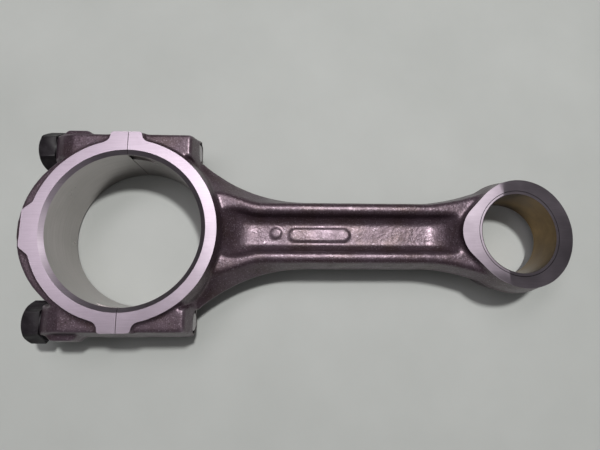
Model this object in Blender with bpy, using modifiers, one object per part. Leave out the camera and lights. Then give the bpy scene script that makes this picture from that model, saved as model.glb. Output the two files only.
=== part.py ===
"""A connecting rod for a medium diesel engine, lying on its side, as the pieces it comes apart into.

The rod's own frame has X from the big end's centre to the small end's, Y across the rod and Z along
the crankpin, with Z = 0 on the forging's parting plane. An empty carries that frame into the world,
where the rod lies on the plane Z = 0 with its bounding box centred over the origin.
"""

import math

import bmesh
import bpy
from mathutils import Matrix

MM = 0.001
FIT_GAP = 0.3 * MM  # left between pieces that touch

# Big end
CENTRE_DISTANCE = 194.0 * MM
BIG_END_WIDTH = 38.3 * MM
BIG_BORE_RADIUS = 36.5 * MM
BIG_BORE_CHAMFER = 2.2 * MM  # across, and BIG_BORE_CHAMFER_DEPTH down
BIG_BORE_CHAMFER_DEPTH = 1.3 * MM
RING_FACE_RADIUS = 43.9 * MM  # outer edge of the machined ring
RING_SHOULDER_RADIUS = 45.6 * MM  # the forged wall under it, at RING_SHOULDER_DEPTH
RING_SHOULDER_DEPTH = 7.0 * MM
RING_ROOT_RADIUS = 46.8 * MM  # the same wall at the parting plane
BIG_HALF = BIG_END_WIDTH / 2
OVER_FACE = 1.0 * MM  # stock on the ring that milling takes off
WING_TOP = BIG_HALF + 2 * OVER_FACE
PAD_TOP = BIG_HALF + 1.5 * OVER_FACE

# The machined wings beside the joint between rod and cap
WING_OUTER_Y = 50.8 * MM
BOSS_DRAFT = 2.9 * MM  # how much the sides lean in between the parting plane and the face
ROD_WING_REACH = 6.5 * MM
CAP_WING_REACH = 8.5 * MM
WING_FILLET = 4.0 * MM
WING_ROOT_Y = 36.0 * MM
WING_DRAFT = BOSS_DRAFT * WING_TOP / BIG_HALF

# Bolt bosses
BOSS_OUTER_Y = WING_OUTER_Y - 0.2 * MM
ROD_BOSS_END_X = 32.8 * MM
ROD_BOSS_HALF_HEIGHT = 16.5 * MM
CAP_BOSS_HALF_HEIGHT = 16.1 * MM
BOSS_ROOT_Y = 34.0 * MM
BOSS_CORNER = 4.0 * MM
BOLT_SEAT_X = -38.5 * MM
BOLT_SEAT_CLEAR_Y = 32.3 * MM  # the cap's back is cut down to the seat outside this
# The cap's bosses round down to the seats: (x, height above the parting plane)
SEAT_ROUND = ((-27.0 * MM, 16.4 * MM), (-33.0 * MM, 14.0 * MM), (-36.5 * MM, 11.3 * MM), (-39.5 * MM, 7.6 * MM))
SEAT_ROUND_FROM_Y = 35.0 * MM
BULGE_OUTER_Y = 53.0 * MM
BULGE_HALF_HEIGHT = 9.6 * MM
BULGE_DRAFT = 1.1 * MM
BULGE_SINK = 0.6 * MM  # how deep its edges start inside the boss
BULGE_CENTRE_X = -28.5 * MM
BULGE_HALF_LENGTH = 8.5 * MM

# Cap
CAP_RIM_CENTRE_X = -8.3 * MM
CAP_RIM_RADIUS = 44.1 * MM
CAP_RIM_HALF_HEIGHT = 15.2 * MM
CAP_RIM_DRAFT = 1.8 * MM
PAD_END_X = -46.9 * MM  # the machined weight pad, at the face
PAD_HALF_WIDTH = 9.0 * MM
PAD_ROOT_HALF_WIDTH = 12.0 * MM
PAD_ROOT_X = -42.6 * MM
PAD_INSIDE_X = -30.0 * MM
PAD_DRAFT = 2.6 * MM

# Small end
SMALL_END_WIDTH = 30.3 * MM
SMALL_HALF = SMALL_END_WIDTH / 2
PIN_RADIUS = 20.0 * MM
BUSH_WALL = 1.4 * MM
BUSH_CHAMFER = 0.5 * MM
EYE_CENTRE_X = CENTRE_DISTANCE + 1.5 * MM  # the forged eye has its thicker wall at the tip
EYE_RADIUS = 29.2 * MM
EYE_DRAFT = 2.1 * MM
NOSE_CENTRE_X = 180.0 * MM
NOSE_RADIUS = 18.0 * MM
WEDGE_START_X = 186.0 * MM
WEDGE_SLOPE = 0.165  # both side faces of the eye fall away towards the tip

# Shank
SHANK_HALF_WIDTH = 17.0 * MM
SHANK_HALF_HEIGHT = 12.05 * MM
WEB_HALF_HEIGHT = 4.0 * MM
FLANGE_OUTER_Y = 13.6 * MM  # outer edge of a flange's flat top
FLANGE_INNER_Y = 10.5 * MM
FLOOR_HALF_WIDTH = 5.2 * MM
FLASH_HALF_HEIGHT = 0.8 * MM  # trimmed parting line
EDGE_ROUND = 1.3 * MM
SHANK_FROM_X = 22.0 * MM
SHANK_TO_X = 184.0 * MM
SHANK_STATIONS = 54
SHOULDER_FROM_X = 90.0 * MM  # the shank widens from here towards the big end
SHOULDER_AT_X = 42.2 * MM
SHOULDER_FLARE = 13.7 * MM
SHOULDER_POWER = 2.3
NECK_FROM_X = 148.0 * MM  # and from here towards the small end
NECK_AT_X = 172.0 * MM
NECK_FLARE = 4.4 * MM
NECK_POWER = 1.6
FLANGE_OUTER_SPREAD = 6.3 * MM  # a flange's top widens outwards from FLANGE_OUTER_FROM_X towards the big end
FLANGE_OUTER_FROM_X = 66.0 * MM
FLANGE_OUTER_RUN = 26.0 * MM
FLANGE_INNER_SPREAD = 2.6 * MM  # and its inner edge moves out with it
FLANGE_INNER_FROM_X = 64.0 * MM
FLANGE_INNER_RUN = 13.0 * MM
RECESS_BIG_END_X = 64.0 * MM  # the recess's floor curves up to the flanges' height from here
RECESS_BIG_END_RUN = 19.5 * MM
RECESS_SMALL_END_X = 147.0 * MM
RECESS_SMALL_END_RUN = 17.0 * MM
RECESS_END_POWER = 2.5
# Shares of the way from the recess's floor to a flange's top: (across, up)
RECESS_WALL = ((0.0, 0.0), (0.36, 0.10), (0.60, 0.33), (0.78, 0.80), (0.88, 0.95), (1.06, 1.0))

# Bolts, M11 x 1.25, and dowel pins
BOLT_Y = 43.5 * MM
BOLT_RADIUS = 5.5 * MM
BOLT_TIP_X = 31.8 * MM
BOLT_TIP_CHAMFER = 1.2 * MM
BOLT_HEAD_FLATS = 18.0 * MM
BOLT_HEAD_HEIGHT = 9.0 * MM
BOLT_HEAD_CHAMFER = 1.1 * MM
BOLT_WASHER_FACE = 0.5 * MM  # height of the round face under the head
BOLT_WASHER_INSET = 0.2 * MM
BOLT_TOP_INSET = 0.5 * MM  # how much smaller than the flats the top's round face is
DOWEL_RADIUS = 2.0 * MM
DOWEL_CHAMFER = 0.3 * MM
DOWEL_HALF_LENGTH = 5.8 * MM
DOWEL_Z = 12.5 * MM

# Notches for the tangs of the bearing shells
TANG_CUTTER_RADIUS = 24.0 * MM
TANG_DEPTH = 1.4 * MM
TANG_LOW_Z = BIG_HALF - 8.4 * MM
TANG_HIGH_Z = BIG_HALF - 2.0 * MM

# Facets round a full turn
RING_FACETS = 96
HOLE_FACETS = 40
BOLT_FACETS = 36
FILLET_FACETS = 4
BEYOND = 12.0 * MM  # how far a cutter runs past what it cuts
CUTTER_REACH = 80.0 * MM  # half the size of the blocks that cut the whole big end
OVERLAP = 6.0 * MM  # how far a boss runs on past the joint before it is cut off there
FORGING_SOLVER = "MANIFOLD"  # the EXACT solver loses the big end once its wings are joined on

CAP_BACK_X = CAP_RIM_CENTRE_X - CAP_RIM_RADIUS
TIP_X = EYE_CENTRE_X + EYE_RADIUS
BIG_END_WORLD_X = -(CAP_BACK_X + TIP_X) / 2

FORGING = (0.145, 0.118, 0.122)
BRONZE = (0.46, 0.33, 0.17)
BLACK_STEEL = (0.035, 0.035, 0.04)
GROUND_STEEL = (0.62, 0.61, 0.60)


def clear_scene():
    """An empty scene, without closing the file."""
    for obj in list(bpy.data.objects):
        bpy.data.objects.remove(obj, do_unlink=True)


def new_collection(name):
    made = bpy.data.collections.new(name)
    bpy.context.scene.collection.children.link(made)
    return made


def new_material(name, colour, roughness, metallic):
    made = bpy.data.materials.new(name)
    made.use_nodes = True
    shader = made.node_tree.nodes["Principled BSDF"]
    shader.inputs["Base Color"].default_value = (*colour, 1.0)
    shader.inputs["Roughness"].default_value = roughness
    shader.inputs["Metallic"].default_value = metallic
    made.diffuse_color = (*colour, 1.0)
    return made


def new_object(name, shape, collection):
    """An object from a bmesh, which is freed."""
    bmesh.ops.recalc_face_normals(shape, faces=shape.faces)
    mesh = bpy.data.meshes.new(name)
    shape.to_mesh(mesh)
    shape.free()
    made = bpy.data.objects.new(name, mesh)
    collection.objects.link(made)
    return made


def smooth(share):
    """0 below 0, 1 above 1, and an S-curve between."""
    share = min(max(share, 0.0), 1.0)
    return share * share * (3 - 2 * share)


def arc(centre_x, centre_y, radius, start_deg, end_deg, steps):
    """Points along an arc, both ends included."""
    points = []
    for step in range(steps + 1):
        angle = math.radians(start_deg + (end_deg - start_deg) * step / steps)
        points.append((centre_x + radius * math.cos(angle), centre_y + radius * math.sin(angle)))
    return points


def drafted_slab(outline, half_height, draft, both_sides=False):
    """A forged slab: the outline on the parting plane, its walls leaning in by draft at each face."""
    shape = bmesh.new()
    face = shape.faces.new([shape.verts.new((x, y, 0)) for x, y in outline])
    face.normal_update()
    if face.normal.z < 0:
        face.normal_flip()
    bmesh.ops.inset_region(
        shape,
        faces=[face],
        thickness=draft,
        depth=half_height,
        use_boundary=True,
        use_even_offset=True,
    )
    mirror_merged(shape, "Z")
    if both_sides:
        mirror_merged(shape, "Y")
    return shape


def mirror_merged(shape, axis):
    everything = shape.verts[:] + shape.edges[:] + shape.faces[:]
    bmesh.ops.mirror(shape, geom=everything, axis=axis, merge_dist=1e-7)


def turned(name, profile, collection):
    """A solid of revolution about Z from (radius, height) points, listed from the top down."""
    mesh = bpy.data.meshes.new(name)
    edges = [(i, i + 1) for i in range(len(profile) - 1)]
    mesh.from_pydata([(radius, 0, height) for radius, height in profile], edges, [])
    made = bpy.data.objects.new(name, mesh)
    collection.objects.link(made)
    screw = made.modifiers.new("turn", "SCREW")
    screw.steps = RING_FACETS
    screw.render_steps = RING_FACETS
    screw.use_merge_vertices = True
    screw.merge_threshold = 1e-5
    screw.use_smooth_shade = False
    return made


def rod_along_x(radius, from_x, to_x, y, z, facets):
    """A round bar parallel to X."""
    shape = bmesh.new()
    bmesh.ops.create_cone(
        shape,
        cap_ends=True,
        segments=facets,
        radius1=radius,
        radius2=radius,
        depth=to_x - from_x,
        matrix=Matrix.Translation(((from_x + to_x) / 2, y, z)) @ Matrix.Rotation(math.radians(90), 4, "Y"),
    )
    return shape


def block(low, high):
    shape = bmesh.new()
    size = [b - a for a, b in zip(low, high)]
    centre = [(a + b) / 2 for a, b in zip(low, high)]
    bmesh.ops.create_cube(shape, size=1.0, matrix=Matrix.Translation(centre) @ Matrix.Diagonal((*size, 1.0)))
    return shape


def add_boolean(obj, tool, operation, solver="EXACT"):
    made = obj.modifiers.new(f"{operation.lower()} {tool.name}", "BOOLEAN")
    made.operation = operation
    made.object = tool
    made.solver = solver


def put_away(tools):
    for tool in tools:
        tool.hide_render = True
        tool.display_type = "WIRE"


# ---- shapes shared by the rod and its cap ----


def ring_profile():
    """Outer wall of the big end's ring, running past both faces so that the faces are cut flat."""
    lean = (RING_SHOULDER_RADIUS - RING_FACE_RADIUS) / RING_SHOULDER_DEPTH
    shoulder_z = BIG_HALF - RING_SHOULDER_DEPTH
    upper = [(RING_FACE_RADIUS - lean * OVER_FACE, BIG_HALF + OVER_FACE), (RING_SHOULDER_RADIUS, shoulder_z)]
    lower = [(radius, -height) for radius, height in reversed(upper)]
    top_z = upper[0][1]
    return [(0, top_z), *upper, (RING_ROOT_RADIUS, 0), *lower, (0, -top_z)]


def big_bore_profile():
    """The bearing bore with its chamfers, as a cutter that runs past both faces."""
    past = 2 * OVER_FACE
    mouth = BIG_BORE_RADIUS + BIG_BORE_CHAMFER * (1 + past / BIG_BORE_CHAMFER_DEPTH)
    edge_z = BIG_HALF - BIG_BORE_CHAMFER_DEPTH
    return [
        (0, BIG_HALF + past),
        (mouth, BIG_HALF + past),
        (BIG_BORE_RADIUS, edge_z),
        (BIG_BORE_RADIUS, -edge_z),
        (mouth, -BIG_HALF - past),
        (0, -BIG_HALF - past),
    ]


def wing_outline(reach, side):
    """One machined wing on the parting plane, joined to the ring by a concave arc; side is +1 or -1 in X."""
    edge_x = reach + BOSS_DRAFT
    root_radius = WING_FILLET - BOSS_DRAFT
    centre_x = reach + WING_FILLET
    centre_y = math.sqrt((RING_FACE_RADIUS + WING_FILLET) ** 2 - centre_x**2)
    towards_ring = 180 + math.degrees(math.atan2(centre_y, centre_x))
    fillet = arc(centre_x, centre_y, root_radius, 180, towards_ring, FILLET_FACETS)
    inside = -BOSS_DRAFT - OVERLAP
    outline = [(inside, WING_ROOT_Y), (inside, WING_OUTER_Y), (edge_x, WING_OUTER_Y), *fillet]
    outline.append((fillet[-1][0], WING_ROOT_Y))
    return [(side * x, y) for x, y in outline]


def face_cutters(collection):
    """Two blocks that mill the big end's faces flat."""
    made = []
    for name, side in (("front_face_cutter", 1), ("back_face_cutter", -1)):
        near = BIG_HALF
        far = BIG_HALF + BEYOND
        low = (-CUTTER_REACH, -CUTTER_REACH, min(side * near, side * far))
        high = (CUTTER_REACH, CUTTER_REACH, max(side * near, side * far))
        made.append(new_object(name, block(low, high), collection))
    return made


def wedge_cutters(collection):
    """Two prisms that slope the small end's faces towards the tip."""
    made = []
    from_x = WEDGE_START_X - BEYOND
    to_x = TIP_X + BEYOND
    for name, side in (("front_wedge_cutter", 1), ("back_wedge_cutter", -1)):
        corners = []
        for x in (from_x, to_x):
            corners.append((x, SMALL_HALF - WEDGE_SLOPE * (x - WEDGE_START_X)))
        corners += [(to_x, SMALL_HALF + BEYOND), (from_x, SMALL_HALF + BEYOND)]
        shape = bmesh.new()
        face = shape.faces.new([shape.verts.new((x, -EYE_RADIUS - BEYOND, side * z)) for x, z in corners])
        swept = bmesh.ops.extrude_face_region(shape, geom=[face])["geom"]
        moved = [item for item in swept if isinstance(item, bmesh.types.BMVert)]
        bmesh.ops.translate(shape, verts=moved, vec=(0, 2 * (EYE_RADIUS + BEYOND), 0))
        made.append(new_object(name, shape, collection))
    return made


def seat_round_cutters(collection):
    """Four prisms that round the cap's bosses down to the bolt seats."""
    made = []
    low_z = SEAT_ROUND[-1][1]
    far = -CUTTER_REACH
    outline = [*SEAT_ROUND, (far, low_z), (far, CUTTER_REACH), (SEAT_ROUND[0][0], CUTTER_REACH)]
    for label, side_y in (("upper", 1), ("lower", -1)):
        for face_label, side_z in (("front", 1), ("back", -1)):
            shape = bmesh.new()
            corners = [(x, side_y * SEAT_ROUND_FROM_Y, side_z * z) for x, z in outline]
            face = shape.faces.new([shape.verts.new(corner) for corner in corners])
            swept = bmesh.ops.extrude_face_region(shape, geom=[face])["geom"]
            moved = [item for item in swept if isinstance(item, bmesh.types.BMVert)]
            bmesh.ops.translate(shape, verts=moved, vec=(0, side_y * CUTTER_REACH, 0))
            made.append(new_object(f"{label}_{face_label}_seat_round_cutter", shape, collection))
    return made


def tang_cutter(name, side_y, collection):
    """The disc that cuts a tang notch: deepest at the joint, running out along the bore."""
    shape = bmesh.new()
    centre_y = side_y * (BIG_BORE_RADIUS + TANG_DEPTH - TANG_CUTTER_RADIUS)
    bmesh.ops.create_cone(
        shape,
        cap_ends=True,
        segments=RING_FACETS,
        radius1=TANG_CUTTER_RADIUS,
        radius2=TANG_CUTTER_RADIUS,
        depth=TANG_HIGH_Z - TANG_LOW_Z,
        matrix=Matrix.Translation((0, centre_y, (TANG_HIGH_Z + TANG_LOW_Z) / 2)),
    )
    return new_object(name, shape, collection)


def hole_cutters(name, radius, from_x, to_x, z_places, facets, collection):
    """Holes parallel to X at both bolts, one object for each hole."""
    made = []
    for label, side, z in zip(("upper", "lower"), (1, -1), z_places):
        shape = rod_along_x(radius, from_x, to_x, side * BOLT_Y, z, facets)
        made.append(new_object(f"{label}_{name}", shape, collection))
    return made


# ---- the shank ----


def shoulder_flare(x):
    share = max(SHOULDER_FROM_X - x, 0.0) / (SHOULDER_FROM_X - SHOULDER_AT_X)
    return SHOULDER_FLARE * share**SHOULDER_POWER


def neck_flare(x):
    share = max(x - NECK_FROM_X, 0.0) / (NECK_AT_X - NECK_FROM_X)
    return NECK_FLARE * share**NECK_POWER


def recess_rise(x):
    """How far the recess's floor has risen at x, as a share of the way to the flanges' tops."""
    big_end = (RECESS_BIG_END_X - x) / RECESS_BIG_END_RUN
    small_end = (x - RECESS_SMALL_END_X) / RECESS_SMALL_END_RUN
    return min(max(big_end, small_end, 0.0), 1.0) ** RECESS_END_POWER


def shank_quarter(x):
    """One quarter of the I-section at x, from the middle of the recess out to the parting line: (y, z)."""
    half_width = SHANK_HALF_WIDTH + shoulder_flare(x) + neck_flare(x)
    outer_spread = FLANGE_OUTER_SPREAD * smooth((FLANGE_OUTER_FROM_X - x) / FLANGE_OUTER_RUN)
    inner_spread = FLANGE_INNER_SPREAD * smooth((FLANGE_INNER_FROM_X - x) / FLANGE_INNER_RUN)
    outer_y = FLANGE_OUTER_Y + neck_flare(x) + outer_spread
    inner_y = FLANGE_INNER_Y + inner_spread
    floor_z = WEB_HALF_HEIGHT + (SHANK_HALF_HEIGHT - WEB_HALF_HEIGHT) * recess_rise(x)
    points = [(0.0, floor_z)]
    for across, up in RECESS_WALL:
        y = FLOOR_HALF_WIDTH + (inner_y - FLOOR_HALF_WIDTH) * across
        points.append((y, floor_z + (SHANK_HALF_HEIGHT - floor_z) * up))
    points.append((outer_y - 0.4 * EDGE_ROUND, SHANK_HALF_HEIGHT))
    points.append((outer_y + 0.6 * EDGE_ROUND, SHANK_HALF_HEIGHT - 0.3 * EDGE_ROUND))
    points.append((outer_y + EDGE_ROUND, SHANK_HALF_HEIGHT - EDGE_ROUND))
    points.append((half_width, FLASH_HALF_HEIGHT))
    return points


def shank_section(x):
    """The whole I-section at x, in order round its outline."""
    quarter = shank_quarter(x)
    upper = [(-y, z) for y, z in reversed(quarter[1:])] + quarter
    return upper + [(y, -z) for y, z in reversed(upper)]


def shank_shape():
    """The shank and its shoulders, lofted through sections along X."""
    shape = bmesh.new()
    rings = []
    for station in range(SHANK_STATIONS + 1):
        x = SHANK_FROM_X + (SHANK_TO_X - SHANK_FROM_X) * station / SHANK_STATIONS
        rings.append([shape.verts.new((x, y, z)) for y, z in shank_section(x)])
    for first, second in zip(rings, rings[1:]):
        for i in range(len(first)):
            j = (i + 1) % len(first)
            shape.faces.new((first[i], first[j], second[j], second[i]))
    shape.faces.new(rings[0])
    shape.faces.new(rings[-1])
    return shape


# ---- forging blanks ----


def rod_boss_shape():
    """The threaded bosses that the bolts screw into."""
    corner = arc(
        ROD_BOSS_END_X - BOSS_CORNER, BOSS_OUTER_Y - BOSS_CORNER, BOSS_CORNER, 90, 0, FILLET_FACETS
    )
    outline = [(-OVERLAP, BOSS_ROOT_Y), (-OVERLAP, BOSS_OUTER_Y), *corner, (ROD_BOSS_END_X, BOSS_ROOT_Y)]
    return drafted_slab(outline, ROD_BOSS_HALF_HEIGHT, BOSS_DRAFT, both_sides=True)


def cap_boss_shape():
    """The bosses that the bolts pass through."""
    back_x = BOLT_SEAT_X - OVERLAP
    outline = [(OVERLAP, BOSS_ROOT_Y), (OVERLAP, BOSS_OUTER_Y), (back_x, BOSS_OUTER_Y), (back_x, BOSS_ROOT_Y)]
    return drafted_slab(outline, CAP_BOSS_HALF_HEIGHT, BOSS_DRAFT, both_sides=True)


def cap_bulge_shape():
    """The swelling of the cap's bosses round the bolts."""
    root_y = BOSS_OUTER_Y - BULGE_SINK
    ramp = BULGE_OUTER_Y - root_y
    outline = []
    for side in (1, -1):
        root_x = BULGE_CENTRE_X + side * BULGE_HALF_LENGTH
        corner = [(root_x, BOLT_Y), (root_x, root_y), (root_x - side * ramp, BULGE_OUTER_Y)]
        outline += corner[::side]
    return drafted_slab(outline, BULGE_HALF_HEIGHT, BULGE_DRAFT, both_sides=True)


def cap_pad_shape():
    """The pad on the cap's back that is milled to bring the rod to weight."""
    end_half_width = PAD_HALF_WIDTH + 0.4 * PAD_DRAFT
    root_half_width = PAD_ROOT_HALF_WIDTH + 0.9 * PAD_DRAFT
    outline = [
        (PAD_END_X - PAD_DRAFT, end_half_width),
        (PAD_ROOT_X - 0.5 * PAD_DRAFT, root_half_width),
        (PAD_INSIDE_X, PAD_ROOT_HALF_WIDTH + PAD_DRAFT),
    ]
    outline += [(x, -y) for x, y in reversed(outline)]
    return drafted_slab(outline, PAD_TOP, PAD_DRAFT)


def cap_rim_shape():
    outline = arc(CAP_RIM_CENTRE_X, 0, CAP_RIM_RADIUS, 0, 360, RING_FACETS)[:-1]
    return drafted_slab(outline, CAP_RIM_HALF_HEIGHT, CAP_RIM_DRAFT)


def eye_shape():
    """The small end: the eye and its nose towards the shank, under one tangent outline."""
    lean = math.degrees(math.acos((EYE_RADIUS - NOSE_RADIUS) / (EYE_CENTRE_X - NOSE_CENTRE_X)))
    tangent = 180 - lean
    outline = arc(EYE_CENTRE_X, 0, EYE_RADIUS, -tangent, tangent, RING_FACETS * 3 // 4)
    outline += arc(NOSE_CENTRE_X, 0, NOSE_RADIUS, tangent, 360 - tangent, RING_FACETS // 3)
    return drafted_slab(outline, SMALL_HALF, EYE_DRAFT)


# ---- the pieces ----


def rod_body(parts, cutters, shared):
    """The forged rod: half of the big end, the threaded bosses, the shank and the small end."""
    body = turned("rod_body", ring_profile(), parts)
    joined = [
        new_object("rod_shank", shank_shape(), cutters),
        new_object("rod_eye", eye_shape(), cutters),
        new_object("rod_bosses", rod_boss_shape(), cutters),
        new_object(
            "rod_wings",
            drafted_slab(wing_outline(ROD_WING_REACH, 1), WING_TOP, WING_DRAFT, both_sides=True),
            cutters,
        ),
    ]
    reach = CUTTER_REACH
    joint_block = block((-reach, -reach, -reach), (FIT_GAP / 2, reach, reach))
    eye_bore = bmesh.new()
    bmesh.ops.create_cone(
        eye_bore,
        cap_ends=True,
        segments=RING_FACETS,
        radius1=PIN_RADIUS + BUSH_WALL + FIT_GAP,
        radius2=PIN_RADIUS + BUSH_WALL + FIT_GAP,
        depth=2 * (SMALL_HALF + BEYOND),
        matrix=Matrix.Translation((CENTRE_DISTANCE, 0, 0)),
    )
    cut = [
        *shared["faces"],
        new_object("rod_joint_cutter", joint_block, cutters),
        shared["bore"],
        *shared["wedges"],
        new_object("eye_bore_cutter", eye_bore, cutters),
        tang_cutter("rod_tang_cutter", 1, cutters),
        *hole_cutters(
            "thread_cutter",
            BOLT_RADIUS + FIT_GAP,
            -BEYOND,
            ROD_BOSS_END_X + BEYOND,
            (0, 0),
            HOLE_FACETS,
            cutters,
        ),
        *hole_cutters(
            "rod_dowel_cutter",
            DOWEL_RADIUS + FIT_GAP,
            -BEYOND,
            DOWEL_HALF_LENGTH + FIT_GAP,
            (DOWEL_Z, -DOWEL_Z),
            BOLT_FACETS,
            cutters,
        ),
    ]
    for tool in joined:
        add_boolean(body, tool, "UNION", FORGING_SOLVER)
    for tool in cut:
        add_boolean(body, tool, "DIFFERENCE", FORGING_SOLVER)
    put_away(joined + cut)
    return body


def big_end_cap(parts, cutters, shared):
    """The other half of the big end, with the bosses that the bolts pass through."""
    cap = turned("big_end_cap", ring_profile(), parts)
    joined = [
        new_object("cap_rim", cap_rim_shape(), cutters),
        new_object("cap_bosses", cap_boss_shape(), cutters),
        new_object("cap_bulges", cap_bulge_shape(), cutters),
        new_object("cap_pad", cap_pad_shape(), cutters),
        new_object(
            "cap_wings",
            drafted_slab(wing_outline(CAP_WING_REACH, -1), WING_TOP, WING_DRAFT, both_sides=True),
            cutters,
        ),
    ]
    reach = CUTTER_REACH
    joint_block = block((-FIT_GAP / 2, -reach, -reach), (reach, reach, reach))
    seats = []
    for name, side in (("upper_seat_cutter", 1), ("lower_seat_cutter", -1)):
        low_y = min(side * BOLT_SEAT_CLEAR_Y, side * reach)
        high_y = max(side * BOLT_SEAT_CLEAR_Y, side * reach)
        shape = block((-reach, low_y, -reach), (BOLT_SEAT_X, high_y, reach))
        seats.append(new_object(name, shape, cutters))
    cut = [
        *shared["faces"],
        new_object("cap_joint_cutter", joint_block, cutters),
        shared["bore"],
        *seats,
        *seat_round_cutters(cutters),
        tang_cutter("cap_tang_cutter", -1, cutters),
        *hole_cutters(
            "clearance_cutter", BOLT_RADIUS + FIT_GAP, -CUTTER_REACH, BEYOND, (0, 0), HOLE_FACETS, cutters
        ),
        *hole_cutters(
            "cap_dowel_cutter",
            DOWEL_RADIUS + FIT_GAP,
            -DOWEL_HALF_LENGTH - FIT_GAP,
            BEYOND,
            (DOWEL_Z, -DOWEL_Z),
            BOLT_FACETS,
            cutters,
        ),
    ]
    for tool in joined:
        add_boolean(cap, tool, "UNION", FORGING_SOLVER)
    for tool in cut:
        add_boolean(cap, tool, "DIFFERENCE", FORGING_SOLVER)
    put_away(joined + cut)
    return cap


def small_end_bush(parts, shared):
    """The bronze bush pressed into the small end, faced off with it."""
    outer = PIN_RADIUS + BUSH_WALL
    mouth = PIN_RADIUS + BUSH_CHAMFER
    edge_z = SMALL_HALF - BUSH_CHAMFER
    profile = [
        (mouth, SMALL_HALF),
        (outer, SMALL_HALF),
        (outer, -SMALL_HALF),
        (mouth, -SMALL_HALF),
        (PIN_RADIUS, -edge_z),
        (PIN_RADIUS, edge_z),
        (mouth, SMALL_HALF),
    ]
    bush = turned("small_end_bush", profile, parts)
    bush.location = (CENTRE_DISTANCE, 0, 0)
    for tool in shared["wedges"]:
        add_boolean(bush, tool, "DIFFERENCE")
    return bush


def cap_bolt(name, side, parts, cutters):
    """A hexagon-head bolt whose origin is on its axis, under its head."""
    seat = -FIT_GAP
    tip = BOLT_TIP_X - BOLT_SEAT_X
    shank = [
        (0, tip),
        (BOLT_RADIUS - BOLT_TIP_CHAMFER, tip),
        (BOLT_RADIUS, tip - BOLT_TIP_CHAMFER),
        (BOLT_RADIUS, seat - BOLT_WASHER_FACE),
        (0, seat - BOLT_WASHER_FACE),
    ]
    bolt = turned(name, shank, parts)
    bolt.modifiers["turn"].steps = BOLT_FACETS
    bolt.modifiers["turn"].render_steps = BOLT_FACETS
    flats = BOLT_HEAD_FLATS / 2
    corners = flats / math.cos(math.pi / 6)
    top = seat - BOLT_HEAD_HEIGHT
    hexagon = bmesh.new()
    bmesh.ops.create_cone(
        hexagon,
        cap_ends=True,
        segments=6,
        radius1=corners,
        radius2=corners,
        depth=BOLT_HEAD_HEIGHT,
        matrix=Matrix.Translation((0, 0, seat - BOLT_HEAD_HEIGHT / 2)),
    )
    rounding = [
        (0, seat),
        (flats - BOLT_WASHER_INSET, seat),
        (flats, seat - BOLT_WASHER_FACE),
        (corners + BOLT_HEAD_CHAMFER, seat - BOLT_WASHER_FACE - BOLT_WASHER_INSET),
        (corners + BOLT_HEAD_CHAMFER, top + 2 * BOLT_HEAD_CHAMFER),
        (flats - BOLT_TOP_INSET, top),
        (0, top),
    ]
    head = new_object(f"{name}_head", hexagon, cutters)
    envelope = turned(f"{name}_envelope", rounding, cutters)
    add_boolean(head, envelope, "INTERSECT")
    add_boolean(bolt, head, "UNION")
    put_away([head, envelope])
    placed = (BOLT_SEAT_X, side * BOLT_Y, 0)
    for piece in (bolt, head, envelope):
        piece.location = placed
        piece.rotation_euler = (0, math.radians(90), 0)
    return bolt


def dowel_pin(name, side, parts):
    """A pin that lines the cap up with the rod."""
    shape = rod_along_x(DOWEL_RADIUS, -DOWEL_HALF_LENGTH, DOWEL_HALF_LENGTH, 0, 0, BOLT_FACETS)
    pin = new_object(name, shape, parts)
    bevel = pin.modifiers.new("ends", "BEVEL")
    bevel.width = DOWEL_CHAMFER
    bevel.limit_method = "ANGLE"
    bevel.angle_limit = math.radians(60)
    pin.location = (0, side * BOLT_Y, side * DOWEL_Z)
    return pin


def shade_round(obj):
    """Smooth shading across facets, sharp edges kept."""
    for face in obj.data.polygons:
        face.use_smooth = True
    if not hasattr(obj.data, "set_sharp_from_angle"):
        return
    obj.data.set_sharp_from_angle(angle=math.radians(30))


def main():
    clear_scene()
    parts = new_collection("connecting_rod")
    cutters = new_collection("connecting_rod_cutters")
    shared = {
        "faces": face_cutters(cutters),
        "bore": turned("big_bore_cutter", big_bore_profile(), cutters),
        "wedges": wedge_cutters(cutters),
    }
    pieces = {
        rod_body(parts, cutters, shared): ("rod forging", FORGING, 0.5, 0.75),
        big_end_cap(parts, cutters, shared): ("cap forging", FORGING, 0.5, 0.75),
        small_end_bush(parts, shared): ("bush bronze", BRONZE, 0.35, 0.9),
        cap_bolt("cap_bolt_upper", 1, parts, cutters): ("upper bolt steel", BLACK_STEEL, 0.45, 0.7),
        cap_bolt("cap_bolt_lower", -1, parts, cutters): ("lower bolt steel", BLACK_STEEL, 0.45, 0.7),
        dowel_pin("dowel_pin_upper", 1, parts): ("upper dowel steel", GROUND_STEEL, 0.3, 1.0),
        dowel_pin("dowel_pin_lower", -1, parts): ("lower dowel steel", GROUND_STEEL, 0.3, 1.0),
    }
    for piece, look in pieces.items():
        piece.data.materials.append(new_material(*look))
        shade_round(piece)
    frame = bpy.data.objects.new("rod_frame", None)
    frame.location = (BIG_END_WORLD_X, 0, BIG_HALF)
    parts.objects.link(frame)
    for obj in [*parts.objects, *cutters.objects]:
        if obj is not frame:
            obj.parent = frame


main()
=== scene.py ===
"""A connecting rod lying on its side: its visible pieces, their finishes, the light and the camera.

The pieces are built in the rod's own frame: X from the big end's centre to the small end's, Y across
the rod and Z along the crankpin, with Z = 0 on the forging's parting plane. Each one is then moved to
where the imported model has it.
"""

import math

import bmesh
import bpy
import numpy as np
from mathutils import Matrix, Vector, noise


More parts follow.
